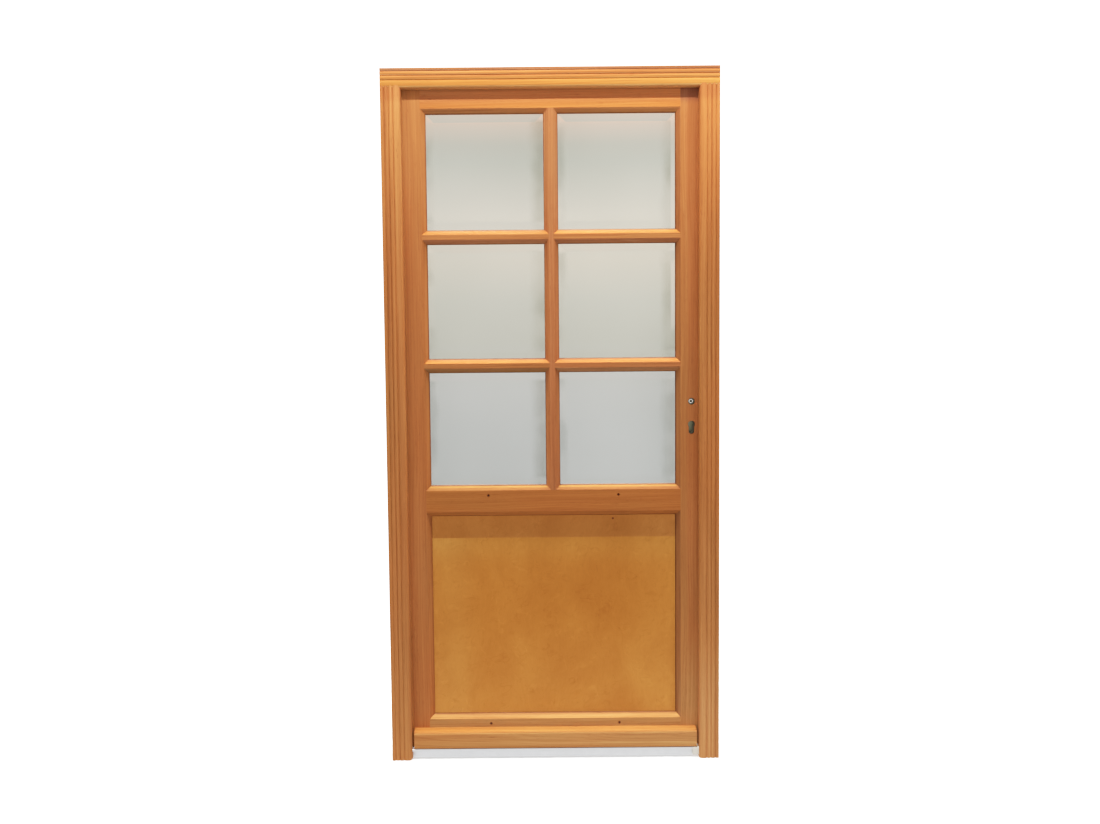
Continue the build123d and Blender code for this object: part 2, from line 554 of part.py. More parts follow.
# ---------------------------------------------------------------- hinges
washers, frame_screws, leaf_screws = [], [], []
FLAP_D0, FLAP_D1 = 50.0, 83.7
for word, zc in HINGE_Z.items():
    z0, z1 = zc - FLAP_H / 2, zc + FLAP_H / 2
    # frame half: lower knuckle
    flap = block(-REBATE_X - FLAP_T, -REBATE_X, FLAP_D0, FLAP_D1, z0, z1)
    jambs[-1] = jambs[-1] - block(-REBATE_X - FLAP_T, -REBATE_X, FLAP_D0, FRAME_DEPTH, z0, z1)
    half = flap + block(-REBATE_X - FLAP_T, -REBATE_X, FLAP_D1 - 1, HINGE_D, z0, zc - 1.0)
    half = half + rod_z(HINGE_X, HINGE_D, z0, zc - 1.0, BARREL_R)
    half = half - rod_z(HINGE_X, HINGE_D, z0 + 5.0, zc, PIN_R + 0.02)
    # leaf half: upper knuckle
    flap2 = block(-LEAF_X, -LEAF_X + FLAP_T, FLAP_D0, FLAP_D1, z0, z1)
    hinge_stile = hinge_stile - block(-LEAF_X, -LEAF_X + FLAP_T, FLAP_D0, LEAF_D1, z0, z1)
    half2 = flap2 + block(-LEAF_X, -LEAF_X + FLAP_T, FLAP_D1 - 1, HINGE_D, zc + 1.0, z1)
    half2 = half2 + rod_z(HINGE_X, HINGE_D, zc + 1.0, z1, BARREL_R)
    half2 = half2 - rod_z(HINGE_X, HINGE_D, zc, z1 - 4.0, PIN_R + 0.05)
    for dz in (-36.0, 0.0, 36.0):
        dd = 62.0 if dz == 0.0 else 72.0
        half = half - screw(-REBATE_X, dd, zc + dz, -1.0, 0.05)
        jambs[-1] = jambs[-1] - screw(-REBATE_X, dd, zc + dz, -1.0, 0.05)
        frame_screws.append(screw(-REBATE_X, dd, zc + dz, -1.0) - driver_slot(-REBATE_X, dd, zc + dz, -1.0))
        half2 = half2 - screw(-LEAF_X, dd, zc + dz, 1.0, 0.05)
        hinge_stile = hinge_stile - screw(-LEAF_X, dd, zc + dz, 1.0, 0.05)
        leaf_screws.append(screw(-LEAF_X, dd, zc + dz, 1.0) - driver_slot(-LEAF_X, dd, zc + dz, 1.0))
    keep("hinge_frame_half_" + word, half)
    keep("hinge_leaf_half_" + word, half2)
    pin = rod_z(HINGE_X, HINGE_D, z0 + 5.0, z1 - 5.0, PIN_R)
    pin = chamfer(pin.edges().sort_by(Axis.Z)[-1:], 0.8)
    keep("hinge_pin_" + word, pin)
    washers.append(rod_z(HINGE_X, HINGE_D, zc - 1.0, zc + 0.9, 6.4) - rod_z(HINGE_X, HINGE_D, zc - 2.0, zc + 2.0, 4.3))

# ---------------------------------------------------------------- fixing holes through the jambs
for side in (-1, 1):
    xa, xb = sorted((side * (REBATE_X - 1.0), side * (HALF_W + 1.0)))
    for z in FIX_Z:
        jambs[side] = jambs[side] - rod_x(xa, xb, LOCK_D, z, FIX_R)

keep("frame_head", head)
keep("frame_jamb_left", jambs[-1])
keep("frame_jamb_right", jambs[1])
keep("seal_left", seals[-1])
keep("seal_right", seals[1])
keep("seal_head", seal_head)
keep("threshold", threshold)
keep("threshold_end_block", end_block)
keep("strike_plate", strike)
keep("strike_screws", group(strike_screws))
keep("hinge_washers", group(washers))
keep("hinge_frame_screws", group(frame_screws))
keep("hinge_leaf_screws", group(leaf_screws))
keep("hinge_stile", hinge_stile)
keep("lock_stile", lock_stile)
for name, shape in rails.items():
    keep(name, shape)
keep("glazing_bar_vertical", vertical_bar)
for name, shape in bars.items():
    keep("glazing_bar_" + name, shape)
keep("lower_panel", panel)
keep("weather_bar", weather_bar)
keep("glazing_beads_horizontal", group(beads_h))
keep("glazing_beads_vertical", group(beads_v))
keep("panel_beads", group(ph + pv))
keep("lock_case", case)
keep("lock_faceplate", faceplate)
keep("faceplate_screws", group(plate_screws))
keep("inner_cover_plate", cover)
keep("cover_plate_screws", group(cover_screws))
keep("latch_bolt", latch)
keep("deadbolt", deadbolt)
keep("lock_follower", follower)

for name, shape in nodes.items():
    found = shape.solids()
    export_step(found[0] if len(found) == 1 else Compound(list(found)), "parts/" + name + ".step")
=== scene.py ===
import math

import bmesh
import bpy
from mathutils import Matrix, Vector


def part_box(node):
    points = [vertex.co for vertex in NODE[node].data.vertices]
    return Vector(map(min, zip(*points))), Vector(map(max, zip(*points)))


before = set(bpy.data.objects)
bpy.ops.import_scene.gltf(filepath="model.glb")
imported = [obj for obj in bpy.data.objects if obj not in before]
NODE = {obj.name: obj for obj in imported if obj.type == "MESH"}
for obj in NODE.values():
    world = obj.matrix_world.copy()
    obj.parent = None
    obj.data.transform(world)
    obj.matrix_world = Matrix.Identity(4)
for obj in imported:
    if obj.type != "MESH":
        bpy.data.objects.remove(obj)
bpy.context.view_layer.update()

Y_FRONT = -0.049            # front face of the frame
KEY, CEILING, FLOOR = 21.0, 80.0, 1.07      # strip light, ceiling straight above, light thrown back by the floor


# ------------------------------------------------------------------ node helpers
class Graph:
    """Small helper that adds shader nodes and links them."""

    def __init__(self, tree):
        self.tree = tree
        tree.nodes.clear()

    def add(self, kind, props=None, **ins):
        node = self.tree.nodes.new(kind)
        for key, value in (props or {}).items():
            setattr(node, key, value)
        for key, value in ins.items():
            self.put(node, key.replace("_", " "), value)
        return node

    def put(self, node, key, value):
        socket = node.inputs[key]
        if isinstance(value, bpy.types.NodeSocket):
            self.tree.links.new(value, socket)
        else:
            socket.default_value = value

    def math(self, op, a, b=None, c=None, clamp=False):
        node = self.tree.nodes.new("ShaderNodeMath")
        node.operation = op
        node.use_clamp = clamp
        for i, v in enumerate((a, b, c)):
            if v is not None:
                self.put(node, i, v)
        return node.outputs[0]

    def vec(self, op, a, b=None):
        node = self.tree.nodes.new("ShaderNodeVectorMath")
        node.operation = op
        self.put(node, 0, a)
        if b is not None:
            self.put(node, 1, b)
        return node.outputs[1] if op in ("LENGTH", "DISTANCE", "DOT_PRODUCT") else node.outputs[0]

    def xyz(self, x, y, z):
        node = self.tree.nodes.new("ShaderNodeCombineXYZ")
        for i, v in enumerate((x, y, z)):
            self.put(node, i, v)
        return node.outputs[0]

    def split(self, v):
        node = self.tree.nodes.new("ShaderNodeSeparateXYZ")
        self.put(node, 0, v)
        return node.outputs[0], node.outputs[1], node.outputs[2]

    def noise(self, v, detail=2.0, rough=0.5, distort=0.0, scale=1.0):
        node = self.tree.nodes.new("ShaderNodeTexNoise")
        node.noise_dimensions = "3D"
        self.put(node, "Vector", v)
        self.put(node, "Scale", scale)
        self.put(node, "Detail", detail)
        self.put(node, "Roughness", rough)
        self.put(node, "Distortion", distort)
        return node.outputs[0]

    def noise1(self, w, detail=2.0, rough=0.5):
        node = self.tree.nodes.new("ShaderNodeTexNoise")
        node.noise_dimensions = "1D"
        self.put(node, "W", w)
        self.put(node, "Scale", 1.0)
        self.put(node, "Detail", detail)
        self.put(node, "Roughness", rough)
        return node.outputs[0]

    def band(self, value, a, b, lo=0.0, hi=1.0, smooth=True):
        node = self.tree.nodes.new("ShaderNodeMapRange")
        node.interpolation_type = "SMOOTHSTEP" if smooth else "LINEAR"
        node.clamp = True
        for key, v in (("Value", value), ("From Min", a), ("From Max", b), ("To Min", lo), ("To Max", hi)):
            self.put(node, key, v)
        return node.outputs[0]

    def ramp(self, fac, stops, mode="LINEAR"):
        node = self.tree.nodes.new("ShaderNodeValToRGB")
        node.color_ramp.interpolation = mode
        e = node.color_ramp.elements
        while len(e) < len(stops):
            e.new(0.5)
        for i, (pos, col) in enumerate(stops):
            e[i].position = pos
            e[i].color = (*col, 1.0)
        self.put(node, 0, fac)
        return node.outputs[0]

    def mix(self, fac, a, b, mode="MIX"):
        node = self.tree.nodes.new("ShaderNodeMix")
        node.data_type = "RGBA"
        node.blend_type = mode
        node.clamp_factor = True
        for i, v in ((0, fac), (6, a), (7, b)):
            if isinstance(v, tuple) and len(v) == 3:
                v = (*v, 1.0)
            self.put(node, i, v)
        return node.outputs[2]

    def bump(self, height, strength, distance, normal=None):
        node = self.tree.nodes.new("ShaderNodeBump")
        self.put(node, "Strength", strength)
        self.put(node, "Distance", distance)
        self.put(node, "Height", height)
        if normal is not None:
            self.put(node, "Normal", normal)
        return node.outputs[0]

    def out(self, shader):
        node = self.tree.nodes.new("ShaderNodeOutputMaterial")
        self.tree.links.new(shader, node.inputs["Surface"])


def new_material(name):
    mat = bpy.data.materials.new(name)
    mat.use_nodes = True
    return mat, Graph(mat.node_tree)


def scaled(col, k):
    return tuple(c * k for c in col)


def tinted(col, hue):
    return tuple(c * k for c, k in zip(col, hue))


# ------------------------------------------------------------------ timber
DARK = (0.290, 0.079, 0.0195)
DEEP = (0.395, 0.118, 0.0300)
MID = (0.490, 0.158, 0.0420)
LIGHT = (0.640, 0.232, 0.0680)


def timber(name, axis, seed, hue=(1.0, 1.0, 1.0), pith=(0.09, 0.06), contrast=1.0, stripe=None, grooves=(), holes=(), bores=None, quirk_shade=(0.80, 0.80),
           painted_floor_bounce=None, foot=None, sweep=None, brow=None, head_shade=None, head_shade_lift=None, upward_light=None, downward_shade=None, leftward_shade=None, edge=None, roof=None, reeds=None, cap=None, turn=None):
    """Oiled straight-grained timber. axis is the way the grain runs, seed sets the piece's own figure, hue its tone.

    stripe is a redder board edge (from x, to x, strength), grooves are the valleys of the reeds, which get painted
    shade, holes are old screw holes with painted shade inside, bores is where the lock's holes are (x, half width, from
    z, to z), whose walls get painted shade, quirk_shade is how dark the painted shade is in the line beside the panes
    and beside the panel.
    The others are tints: painted_floor_bounce is painted light from the floor on the lower half, foot painted light
    from the floor on the last part above it, sweep from left to right, brow of the upper part, head_shade painted shade
    at the top below the head, head_shade_lift the tone of that painted shade in the last part below the head,
    upward_light painted highlight and shade on mouldings that look up (deep side, middle if given, front side),
    downward_shade painted shade on faces that look down, leftward_shade painted shade on faces that look left, edge
    painted light along a leaf's outer edge, roof of flat tops, reeds of the head's upper reeds, cap of its uppermost
    edge.
    turn is the distance from the middle beyond which the grain is upright."""
    mat, g = new_material(name)
    coord = g.add("ShaderNodeTexCoord")
    x, y, z = g.split(coord.outputs["Object"])
    nx, ny, nz = g.split(coord.outputs["Normal"])
    u, w = (x, z) if axis == "Z" else (z, x)
    if turn:
        far = g.math("GREATER_THAN", g.math("ABSOLUTE", x), turn)
        near = g.math("SUBTRACT", 1.0, far)
        u = g.math("ADD", g.math("MULTIPLY", x, far), g.math("MULTIPLY", z, near))
        w = g.math("ADD", g.math("MULTIPLY", z, far), g.math("MULTIPLY", x, near))
    p = g.xyz(u, y, w)
    p = g.vec("ADD", p, (seed * 1.731 % 7.0, seed * 2.237 % 5.0, seed * 3.119 % 9.0))

    # the fibres wander a little along the piece
    bend = g.noise(g.vec("MULTIPLY", p, (3.0, 3.0, 1.1)), 2.0, 0.5)
    bend2 = g.noise(g.vec("MULTIPLY", p, (22.0, 22.0, 4.0)), 1.0, 0.5)
    shift = g.math("ADD", g.math("MULTIPLY", g.math("SUBTRACT", bend, 0.5), 0.040),
                   g.math("MULTIPLY", g.math("SUBTRACT", bend2, 0.5), 0.0045))
    q = g.vec("ADD", p, g.xyz(shift, g.math("MULTIPLY", shift, 0.6), 0.0))

    # broad streaks, narrow streaks, growth rings and fibre
    broad = g.noise(g.vec("MULTIPLY", q, (46.0, 46.0, 0.9)), 3.0, 0.55)
    narrow = g.noise(g.vec("MULTIPLY", q, (230.0, 230.0, 3.2)), 3.0, 0.62)
    qu, qv, qw = g.split(q)
    su, sv, sw = seed * 1.731 % 7.0, seed * 2.237 % 5.0, seed * 3.119 % 9.0
    du = g.math("SUBTRACT", qu, su + pith[0])
    dv = g.math("ADD", g.math("SUBTRACT", qv, sv + pith[1]), g.math("MULTIPLY", g.math("SUBTRACT", qw, sw), 0.018))
    radius = g.math("SQRT", g.math("ADD", g.math("MULTIPLY", du, du), g.math("MULTIPLY", dv, dv)))
    rings = g.noise1(g.math("MULTIPLY", radius, 420.0), 2.0, 0.55)
    fibre = g.noise(g.vec("MULTIPLY", q, (1500.0, 1500.0, 20.0)), 2.0, 0.6)
    pores = g.band(g.noise(g.vec("MULTIPLY", q, (1150.0, 1150.0, 42.0)), 1.0, 0.5), 0.60, 0.74)
    where = g.noise(g.vec("MULTIPLY", q, (60.0, 60.0, 2.0)), 1.0, 0.5)
    pores = g.math("MULTIPLY", pores, g.band(where, 0.35, 0.65, 0.25, 1.0))

    f = g.math("ADD", 0.52, g.math("MULTIPLY", g.math("SUBTRACT", broad, 0.5), 0.95 * contrast))
    f = g.math("ADD", f, g.math("MULTIPLY", g.math("SUBTRACT", narrow, 0.5), 0.80 * contrast))
    f = g.math("ADD", f, g.math("MULTIPLY", g.math("SUBTRACT", rings, 0.5), 0.42 * contrast))
    f = g.math("ADD", f, g.math("MULTIPLY", g.math("SUBTRACT", fibre, 0.5), 0.30 * contrast), clamp=True)
    col = g.ramp(f, [(0.0, tinted(DARK, hue)), (0.28, tinted(DEEP, hue)), (0.55, tinted(MID, hue)), (1.0, tinted(LIGHT, hue))])
    # patches that lean to red or to yellow
    patch = g.noise(g.vec("MULTIPLY", p, (9.0, 9.0, 1.6)), 2.0, 0.5)
    col = g.mix(g.band(patch, 0.35, 0.72, 0.0, 0.55), col, (0.92, 1.10, 1.16), "MULTIPLY")
    if stripe:
        side = g.math("ADD", x, g.math("MULTIPLY", g.math("SUBTRACT", bend, 0.5), 0.03))
        red = g.math("MULTIPLY", g.band(side, stripe[0], stripe[1], 0.0, stripe[2]), g.band(z, 0.20, 0.45))
        col = g.mix(red, col, (0.92, 0.76, 0.74), "MULTIPLY")
    if sweep:
        col = g.mix(1.0, col, g.mix(g.band(x, -0.42, 0.42, smooth=False), sweep[0], sweep[1]), "MULTIPLY")
    # tints by height, facing and place: painted light from the floor on the lower parts, painted shade at the top below
    # the head and on faces that look down or left, painted light along a leaf's outer edges, and other tints along the
    # piece
    for tint, value, a, b in ((painted_floor_bounce, z, 1.0, 0.2), (foot, z, 0.42, 0.13), (brow, z, 1.45, 1.85), (head_shade, z, 2.045, 2.075), (head_shade_lift, z, 2.076, 2.092),
                              (downward_shade, nz, -0.30, -0.60), (leftward_shade, nx, -0.30, -0.60), (edge, g.math("ABSOLUTE", x), 0.443, 0.462),
                              (roof, nz, 0.93, 0.99), (reeds, z, 2.123, 2.131), (cap, z, 2.142, 2.149)):
        if tint:
            col = g.mix(g.band(value, a, b), col, tint, "MULTIPLY")
    # painted highlight and shade on mouldings that look up, changing across the slope as on a rounded profile
    if upward_light:
        slope = g.mix(g.band(y, 0.0055, -0.0045), upward_light[0], upward_light[1])
        if len(upward_light) == 3:
            slope = g.mix(g.band(y, -0.0014, -0.0050), g.mix(g.band(y, 0.0058, -0.0010), upward_light[0], upward_light[1]), upward_light[2])
        col = g.mix(g.band(nz, 0.30, 0.60), col, slope, "MULTIPLY")
    # painted shade in the valleys of the reeds, in the quirks beside the panes and panel, and in the screw holes
    across = g.math("ABSOLUTE", x) if axis == "Z" else z
    for at in grooves:
        gap = g.math("ABSOLUTE", g.math("SUBTRACT", across, at))
        valley_shade = g.math("MULTIPLY", g.band(gap, 0.0028, 0.0004, 0.0, 0.16 if axis == "Z" else 0.85), g.band(y, -0.020, -0.035))
        col = g.mix(valley_shade, col, (0.58, 0.46, 0.34), "MULTIPLY")
    inside = g.math("MULTIPLY", g.band(g.math("ABSOLUTE", x), 0.407, 0.404),
                    g.math("MULTIPLY", g.band(z, 0.112, 0.116), g.band(z, 2.049, 2.045)))
    line = g.math("MULTIPLY", g.band(y, 0.0008, 0.0050), g.band(y, 0.0090, 0.0078))
    line = g.math("MULTIPLY", g.math("MULTIPLY", line, inside), g.band(z, 0.81, 0.83, quirk_shade[1], quirk_shade[0]))
    col = g.mix(line, col, (0.42, 0.38, 0.38), "MULTIPLY")
    for hx, hz in holes:
        away = g.vec("LENGTH", g.vec("SUBTRACT", g.xyz(x, 0.0, z), (hx, 0.0, hz)))
        spot = g.math("MULTIPLY", g.band(away, 0.0052, 0.0028, 0.0, 0.97), g.band(y, 0.022, 0.014))
        col = g.mix(spot, col, (0.22, 0.085, 0.05), "MULTIPLY")
    # painted shade on the walls of the lock's bores
    if bores:
        wall = g.math("MULTIPLY", g.band(g.math("ABSOLUTE", g.math("SUBTRACT", x, bores[0])), bores[1] + 0.002, bores[1]),
                      g.math("MULTIPLY", g.band(z, bores[2] - 0.002, bores[2]), g.band(z, bores[3] + 0.002, bores[3])))
        wall = g.math("MULTIPLY", wall, g.band(g.math("ABSOLUTE", ny), 0.8, 0.5))
        col = g.mix(g.math("MULTIPLY", wall, 0.9), col, (0.14, 0.12, 0.09), "MULTIPLY")
    col = g.mix(g.math("MULTIPLY", pores, 0.50), col, (0.42, 0.34, 0.30), "MULTIPLY")

    rough = g.math("ADD", 0.38, g.math("MULTIPLY", fibre, 0.15))
    rough = g.math("ADD", rough, g.math("MULTIPLY", patch, 0.10))
    height = g.math("SUBTRACT", g.math("ADD", g.math("MULTIPLY", fibre, 0.45), g.math("MULTIPLY", narrow, 0.35)),
                    g.math("MULTIPLY", pores, 0.75))
    normal = g.bump(height, 0.30, 0.00025)
    bsdf = g.add("ShaderNodeBsdfPrincipled", Base_Color=col, Roughness=rough, Normal=normal,
                 IOR=1.45, Specular_IOR_Level=0.09)
    g.out(bsdf.outputs[0])
    return mat


def veneer(name):
    """Rotary-cut plywood face: soft blotches, small curls and faint upright grain, yellower than the timber."""
    mat, g = new_material(name)
    p = g.add("ShaderNodeTexCoord").outputs["Object"]
    ox, oy, oz = g.split(p)
    p = g.vec("ADD", p, (4.3, 1.7, 2.9))
    warp = g.noise(g.vec("MULTIPLY", p, (5.0, 5.0, 2.4)), 3.0, 0.5)
    warp2 = g.noise(g.vec("MULTIPLY", p, (26.0, 26.0, 17.0)), 2.0, 0.5)
    shift = g.math("ADD", g.math("MULTIPLY", g.math("SUBTRACT", warp, 0.5), 0.16),
                   g.math("MULTIPLY", g.math("SUBTRACT", warp2, 0.5), 0.020))
    q = g.vec("ADD", p, g.xyz(shift, 0.0, g.math("MULTIPLY", shift, 0.4)))
    blotch = g.noise(g.vec("MULTIPLY", q, (8.0, 8.0, 5.0)), 2.0, 0.5)
    curl = g.noise(g.vec("MULTIPLY", q, (42.0, 42.0, 30.0)), 3.0, 0.55, 1.6)
    grain = g.noise(g.vec("MULTIPLY", q, (150.0, 150.0, 6.0)), 3.0, 0.6)
    qx, qy, qz = g.split(q)
    flame = g.noise1(g.math("ADD", g.math("MULTIPLY", qx, 60.0), g.math("MULTIPLY", warp, 26.0)), 2.0, 0.5)
    fibre = g.noise(g.vec("MULTIPLY", q, (1300.0, 1300.0, 26.0)), 2.0, 0.6)
    pores = g.band(g.noise(g.vec("MULTIPLY", q, (900.0, 900.0, 60.0)), 1.0, 0.5), 0.62, 0.76)
    f = g.math("ADD", 0.5, g.math("MULTIPLY", g.math("SUBTRACT", blotch, 0.5), 0.80))
    f = g.math("ADD", f, g.math("MULTIPLY", g.math("SUBTRACT", curl, 0.5), 0.34))
    f = g.math("ADD", f, g.math("MULTIPLY", g.math("SUBTRACT", grain, 0.5), 0.13))
    f = g.math("ADD", f, g.math("MULTIPLY", g.math("SUBTRACT", flame, 0.5), 0.10))
    f = g.math("ADD", f, g.math("MULTIPLY", g.math("SUBTRACT", fibre, 0.5), 0.10))
    # sparse curled marks, some dark and some pale
    for at, size, spread, depth in (((0.0, 0.0, 0.0), (25.0, 25.0, 33.0), (18.0, 18.0, 26.0), -0.15),
                                    ((2.2, 0.6, 5.1), (30.0, 30.0, 25.0), (20.0, 20.0, 19.0), 0.14),
                                    ((7.9, 1.4, 3.3), (38.0, 38.0, 52.0), (25.0, 25.0, 30.0), -0.12)):
        turn = g.noise(g.vec("MULTIPLY", g.vec("ADD", q, at), size), 1.0, 0.5, 0.5)
        mark = g.band(g.math("ABSOLUTE", g.math("SUBTRACT", turn, 0.5)), 0.060, 0.0)
        where = g.band(g.noise(g.vec("MULTIPLY", g.vec("ADD", p, at), spread), 1.0, 0.5), 0.56, 0.66)
        f = g.math("ADD", f, g.math("MULTIPLY", g.math("MULTIPLY", mark, where), depth), clamp=True)
    col = g.ramp(f, [(0.0, (0.40, 0.128, 0.018)), (0.35, (0.490, 0.168, 0.0262)),
                     (0.65, (0.565, 0.206, 0.0345)), (1.0, (0.66, 0.262, 0.052))])
    col = g.mix(g.math("MULTIPLY", pores, 0.28), col, (0.50, 0.42, 0.34), "MULTIPLY")
    # painted light from the floor: brighter and yellower towards the bottom
    col = g.mix(g.band(oz, 0.55, 0.15), col, (1.08, 1.14, 1.32), "MULTIPLY")
    col = g.mix(g.math("MULTIPLY", g.band(ox, -0.21, -0.34), g.band(oz, 0.7035, 0.700)), col, (1.11, 1.22, 1.40), "MULTIPLY")
    col = g.mix(g.band(ox, 0.18, 0.37), col, (1.12, 1.20, 1.31), "MULTIPLY")
    # painted shadow of the middle rail as a redder strip at the top of the panel's face, painted light just below it
    face = g.band(oy, 0.016, 0.010)
    col = g.mix(g.math("MULTIPLY", g.band(oz, 0.600, 0.690), face), col, (1.12, 1.22, 1.33), "MULTIPLY")
    col = g.mix(g.math("MULTIPLY", g.band(oz, 0.700, 0.7035), face), col, (0.92, 0.85, 0.98), "MULTIPLY")
    away = g.vec("LENGTH", g.vec("SUBTRACT", g.xyz(ox, 0.0, oz), (0.188, 0.0, 0.761)))
    spot = g.math("MULTIPLY", g.band(away, 0.0044, 0.0022, 0.0, 0.92), face)
    col = g.mix(spot, col, (0.24, 0.11, 0.07), "MULTIPLY")
    rough = g.math("ADD", 0.38, g.math("MULTIPLY", fibre, 0.12))
    normal = g.bump(g.math("SUBTRACT", fibre, g.math("MULTIPLY", pores, 0.6)), 0.22, 0.0002)
    bsdf = g.add("ShaderNodeBsdfPrincipled", Base_Color=col, Roughness=rough, Normal=normal,
                 IOR=1.45, Specular_IOR_Level=0.09)
    g.out(bsdf.outputs[0])
    return mat


# ------------------------------------------------------------------ glass, metals, plastics
def glass(name, seed, low, high, glint=None):
    """Clear bevelled pane between the corners low and high; the strips along its edges are painted reflection and
    shade, a little off in tone.
    glint is a painted highlight, a pale line at the right edge, from one part of the height to another."""
    mat, g = new_material(name)
    coord = g.add("ShaderNodeTexCoord")
    p = coord.outputs["Object"]
    gx, gy, gz = g.split(p)
    slope = g.add("ShaderNodeVectorTransform", dict(vector_type="NORMAL", convert_from="OBJECT", convert_to="WORLD"),
                  Vector=g.vec("NORMALIZE", g.vec("MULTIPLY", coord.outputs["Normal"], (0.3, 1.0, 0.3))))
    blur = g.math("MULTIPLY", g.math("SUBTRACT", g.noise(g.vec("MULTIPLY", p, (14.0, 14.0, 14.0)), 2.0, 0.5), 0.5), 0.020)

    def strip(value, start, outer=0.042, inner=0.026):
        return g.band(g.math("ADD", value, blur), start + outer, start + inner)

    # painted reflection and shade in strips along the pane's edges: darker at the sides and the foot, paler at the top
    left, right = strip(gx, low.x, 0.044, 0.018), strip(g.math("MULTIPLY", gx, -1.0), -high.x, 0.064, 0.028 if glint else 0.019)
    foot, top = strip(gz, low.z), strip(g.math("MULTIPLY", gz, -1.0), -high.z)
    body_col = (0.950, 0.972, 0.955)
    mood = g.noise(g.vec("MULTIPLY", g.vec("ADD", p, (seed * 0.9, 0.0, seed * 1.7)), (5.0, 5.0, 6.0)), 2.0, 0.5)
    mood = g.band(mood, 0.36, 0.62)
    col = g.mix(left, (*body_col, 1.0), g.mix(mood, (0.76, 0.775, 0.75), (0.95, 0.96, 0.935)))
    col = g.mix(right, col, g.mix(mood, (0.67, 0.675, 0.635), (0.84, 0.845, 0.815)))
    if glint:
        tall = high.z - low.z
        pale = g.math("MULTIPLY", g.band(gz, low.z + tall * (glint[0] - 0.04), low.z + tall * (glint[0] + 0.04)),
                      g.band(gz, low.z + tall * (glint[1] + 0.04), low.z + tall * (glint[1] - 0.04)))
        pale = g.math("MULTIPLY", pale, g.band(g.math("MULTIPLY", gx, -1.0), 0.027 - high.x, 0.021 - high.x))
        col = g.mix(pale, col, g.mix(mood, (1.0, 0.965, 0.945), (0.97, 0.935, 0.905)))
    col = g.mix(g.math("MULTIPLY", foot, 0.55), col, (0.905, 0.912, 0.890))
    col = g.mix(g.math("MULTIPLY", top, 0.85), col, (0.998, 0.985, 0.962))
    p = g.vec("ADD", p, (seed * 1.3, seed * 0.7, seed * 2.1))
    wave = g.noise(g.vec("MULTIPLY", p, (5.0, 5.0, 9.0)), 1.0, 0.5)
    normal = g.bump(wave, 0.03, 0.002, slope.outputs[0])
    body = g.add("ShaderNodeBsdfPrincipled", Base_Color=col, Transmission_Weight=1.0, IOR=1.5,
                 Roughness=0.0, Normal=normal)
    clear = g.add("ShaderNodeBsdfTransparent", Color=(0.90, 0.94, 0.92, 1.0))
    path = g.add("ShaderNodeLightPath")
    mix = g.add("ShaderNodeMixShader")
    g.put(mix, 0, path.outputs["Is Shadow Ray"])
    g.put(mix, 1, body.outputs[0])
    g.put(mix, 2, clear.outputs[0])
    g.out(mix.outputs[0])
    return mat


def brushed(name, col, rough, along, spread=0.10, metal=1.0, rim=None, inside=None):
    """Metal with fine marks drawn out along one axis. rim is (x, z, radius, y) of a hub that gets painted shade outside
    that radius and deeper than y, inside the colour of a dull face that looks to the front."""
    mat, g = new_material(name)
    p = g.add("ShaderNodeTexCoord").outputs["Object"]
    k = {"X": (6.0, 900.0, 900.0), "Y": (900.0, 6.0, 900.0), "Z": (900.0, 900.0, 6.0)}[along]
    lines = g.noise(g.vec("MULTIPLY", p, k), 3.0, 0.6)
    cloud = g.noise(g.vec("MULTIPLY", p, (38.0, 38.0, 38.0)), 4.0, 0.6)
    c = g.mix(g.math("MULTIPLY", cloud, 0.55), (*col, 1.0), (*scaled(col, 0.72), 1.0))
    c = g.mix(g.math("MULTIPLY", lines, 0.30), c, (*scaled(col, 0.84), 1.0))
    if rim:
        # painted shade round the hub, in its hole, and on its deeper parts
        rx, ry, rz = g.split(p)
        away = g.vec("LENGTH", g.vec("SUBTRACT", g.xyz(rx, 0.0, rz), (rim[0], 0.0, rim[1])))
        c = g.mix(g.band(away, rim[2], rim[2] + 0.0006, 0.0, 0.92), c, (0.16, 0.145, 0.12), "MULTIPLY")
        c = g.mix(g.band(ry, rim[3], rim[3] + 0.0008, 0.0, 0.90), c, (0.17, 0.18, 0.165), "MULTIPLY")
    r = g.math("ADD", rough - spread / 2, g.math("MULTIPLY", g.math("ADD", g.math("MULTIPLY", lines, 0.5), g.math("MULTIPLY", cloud, 0.5)), spread))
    if inside:
        dull = g.band(g.split(g.add("ShaderNodeTexCoord").outputs["Normal"])[1], -0.3, -0.7)
        c = g.mix(dull, c, g.mix(cloud, (*inside, 1.0), (*scaled(inside, 0.7), 1.0)))
        r = g.math("ADD", r, g.math("MULTIPLY", dull, 0.16))
    bsdf = g.add("ShaderNodeBsdfPrincipled", Base_Color=c, Metallic=metal, Roughness=r, Normal=g.bump(lines, 0.12, 0.00005),
                 Specular_IOR_Level=0.25)
    g.out(bsdf.outputs[0])
    return mat


def moulded(name, col, rough, grain=0.05):
    """Matt plastic or rubber with a fine skin."""
    mat, g = new_material(name)
    p = g.add("ShaderNodeTexCoord").outputs["Object"]
    cloud = g.noise(g.vec("MULTIPLY", p, (60.0, 60.0, 60.0)), 4.0, 0.6)
    skin = g.noise(g.vec("MULTIPLY", p, (2200.0, 2200.0, 2200.0)), 2.0, 0.5)
    c = g.mix(g.math("MULTIPLY", cloud, 0.6), (*col, 1.0), (*scaled(col, 0.80), 1.0))
    bsdf = g.add("ShaderNodeBsdfPrincipled", Base_Color=c, Roughness=g.math("ADD", rough - 0.05, g.math("MULTIPLY", skin, 0.12)),
                 Normal=g.bump(skin, grain * 4, 0.00008), IOR=1.46)
    g.out(bsdf.outputs[0])
    return mat


# ------------------------------------------------------------------ materials onto the parts
def dress(name, mat):
    ob = NODE[name]
    ob.data.materials.clear()
    ob.data.materials.append(mat)


